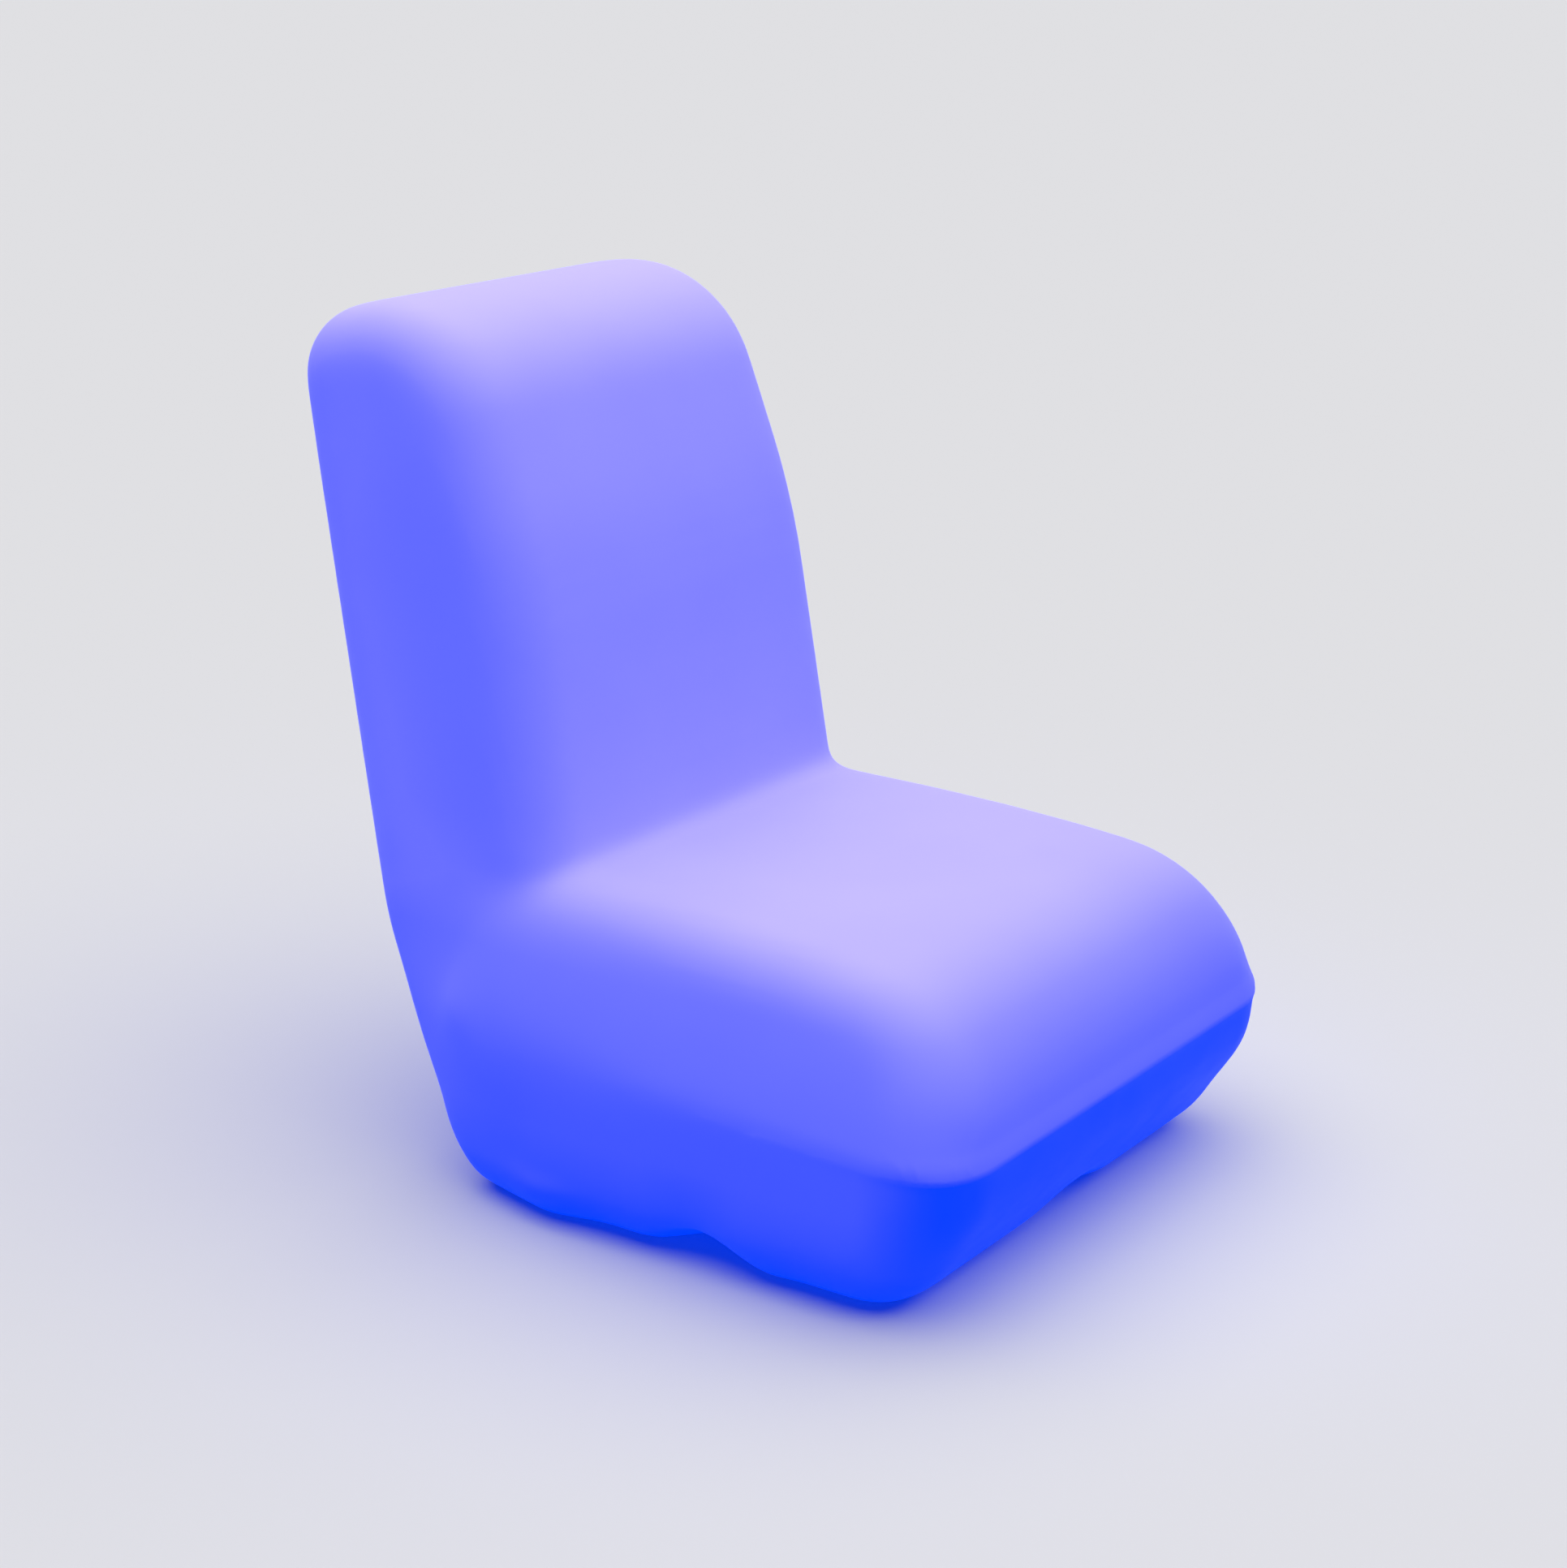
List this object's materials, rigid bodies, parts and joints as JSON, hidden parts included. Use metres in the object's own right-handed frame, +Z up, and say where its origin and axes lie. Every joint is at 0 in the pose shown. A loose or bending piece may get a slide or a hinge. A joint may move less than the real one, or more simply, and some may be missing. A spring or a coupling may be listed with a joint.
{
  "type": "light-up lounge seat",
  "caption": "Low lounge seat with a backrest: a hollow translucent moulded shell that glows blue from a rechargeable light unit twisted into its base.",
  "frame": {"origin": "on the floor, under the middle of the seat's overall box", "axes": "+Z up, +X to the sitter's left, -Y the way the sitter faces"},
  "size_m": [0.5298, 0.6695, 0.7],
  "materials": {
    "lit_shell": "translucent milky polyethylene, smooth satin, lit blue from inside",
    "pad_rubber": "matt moulded",
    "screw_steel": "plain zinc",
    "plug_white": "satin",
    "unit_plastic": "fine satin",
    "seal_rubber": "soft matt",
    "insert_brass": "turned",
    "board_white": "white solder mask",
    "light_package": "clear resin",
    "dome_milky": "milky",
    "cell_sleeve": "shrink sleeve",
    "inner_plastic": "satin",
    "board_green": "solder mask",
    "chip_black": "moulded",
    "button_grey": "satin",
    "pipe_clear": "clear",
    "lead_red": "silicone sleeve"
  },
  "bodies": {
    "seat": {"shell": "lit_shell", "foot_pads": "pad_rubber", "foot_screws": "screw_steel", "vent_plug": "plug_white", "lock_collar": "unit_plastic", "collar_seal": "seal_rubber", "collar_inserts": "insert_brass", "collar_screws": "screw_steel"},
    "light_unit": {"unit_cover": "unit_plastic", "unit_chassis": "unit_plastic", "join_screws": "screw_steel", "unit_seal": "seal_rubber", "light_board": "board_white", "lights": "light_package", "board_screws": "screw_steel", "dome": "dome_milky", "battery_cells": "cell_sleeve", "battery_tray": "inner_plastic", "battery_straps": "inner_plastic", "control_board": "board_green", "control_chips": "chip_black", "switch": "chip_black", "charge_socket": "screw_steel", "door_pin": "screw_steel", "light_pipe": "pipe_clear", "charge_light": "light_package", "light_leads": "lead_red", "battery_leads": "lead_red"},
    "button": {"power_button": "button_grey", "switch_stem": "chip_black"},
    "door": {"charge_door": "unit_plastic", "door_seal": "seal_rubber"}
  },
  "joints": [
    {"name": "unit_twist", "type": "hinge", "parent": "seat", "child": "light_unit", "pos_m": [0, -0.0703, 0], "axis": [0, 0, 1], "range_deg": [0, 45]},
    {"name": "button_press", "type": "slide", "parent": "light_unit", "child": "button", "axis": [0, 0, 1], "range_m": [0, 0.0012], "stiffness_N_per_m": 1500, "springref_m": -0.0006},
    {"name": "door_swing", "type": "hinge", "parent": "light_unit", "child": "door", "pos_m": [0.016, -0.0161, 0.0044], "axis": [1, 0, 0], "range_deg": [0, 105]}
  ]
}
